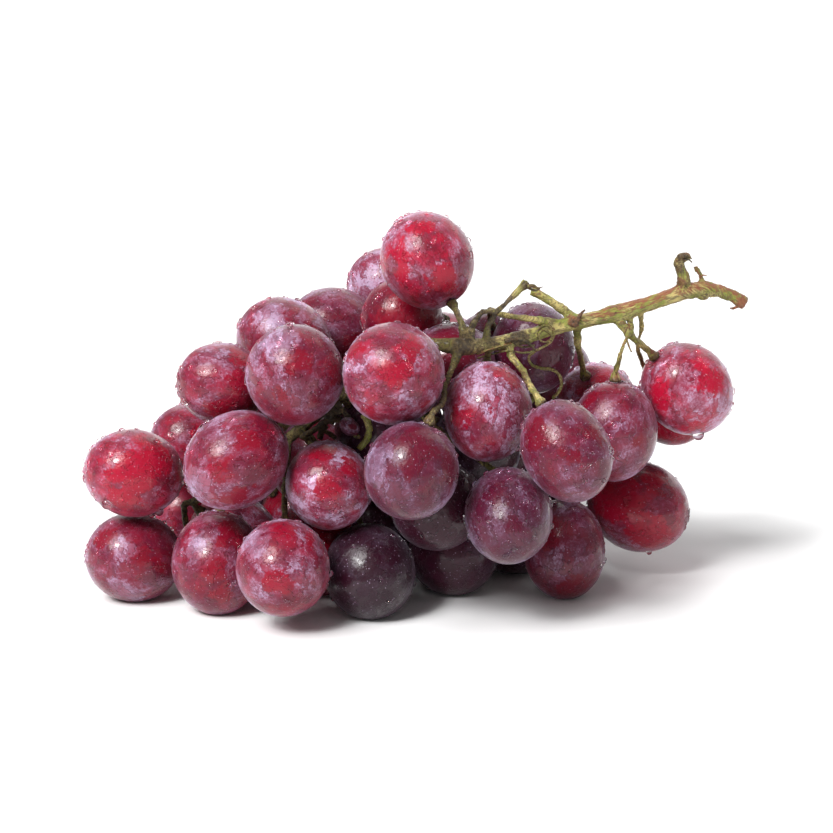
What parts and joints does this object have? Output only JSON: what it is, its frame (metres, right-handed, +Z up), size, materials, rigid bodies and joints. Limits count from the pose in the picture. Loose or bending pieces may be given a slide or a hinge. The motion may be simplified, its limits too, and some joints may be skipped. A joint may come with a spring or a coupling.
{
  "type": "bunch of red grapes",
  "caption": "Bunch of large red table grapes lying on its side, berries on a branched woody stem whose cut end rises at one side.",
  "frame": {"origin": "on the table under the middle of the bunch's outer box", "axes": "+X towards the cut end of the stem, -Y towards the viewer, +Z up"},
  "size_m": [0.1652, 0.1302, 0.0967],
  "materials": {
    "red_skin": "crimson grape skin, wet, with a pale waxy bloom",
    "purple_skin": "purple-red grape skin, wet, with a lavender-grey bloom",
    "dark_skin": "near-black purple grape skin, wet, with a faint grey bloom",
    "stem_bark": "matte yellow-green to brown stem bark, ridged, with dry ends"
  },
  "bodies": {
    "root": {"back_low_1": "red_skin", "back_low_2": "red_skin", "back_low_3": "red_skin", "back_low_4": "purple_skin", "back_low_5": "purple_skin", "back_mid_1": "red_skin", "back_mid_2": "red_skin", "back_mid_3": "red_skin", "back_mid_4": "purple_skin", "back_mid_5": "purple_skin", "back_mid_6": "red_skin", "core_1": "dark_skin", "core_2": "purple_skin", "core_3": "red_skin", "core_4": "dark_skin", "core_dark": "dark_skin", "floor_1": "red_skin", "floor_2": "red_skin", "floor_3": "red_skin", "floor_4": "red_skin", "floor_5": "dark_skin", "floor_6": "dark_skin", "floor_7": "dark_skin", "floor_8": "red_skin", "floor_9": "dark_skin", "floor_10": "red_skin", "front_centre": "purple_skin", "front_low_1": "red_skin", "front_low_2": "red_skin", "front_low_3": "dark_skin", "front_low_4": "red_skin", "front_mid_1": "purple_skin", "front_mid_2": "red_skin", "front_mid_3": "purple_skin", "left_back": "red_skin", "left_mid": "red_skin", "left_upper": "red_skin", "low_dark": "dark_skin", "right_back": "purple_skin", "right_end": "red_skin", "right_end_back": "red_skin", "right_low": "purple_skin", "right_mid": "purple_skin", "right_outer": "purple_skin", "stem": "stem_bark", "tip_lower": "red_skin", "tip_upper": "red_skin", "top": "red_skin", "top_back_1": "red_skin", "top_back_2": "red_skin", "top_front_1": "red_skin", "top_front_2": "red_skin", "top_left": "red_skin", "top_under": "red_skin", "under_stem_1": "dark_skin", "under_stem_2": "purple_skin", "under_stem_3": "dark_skin"}
  },
  "joints": []
}
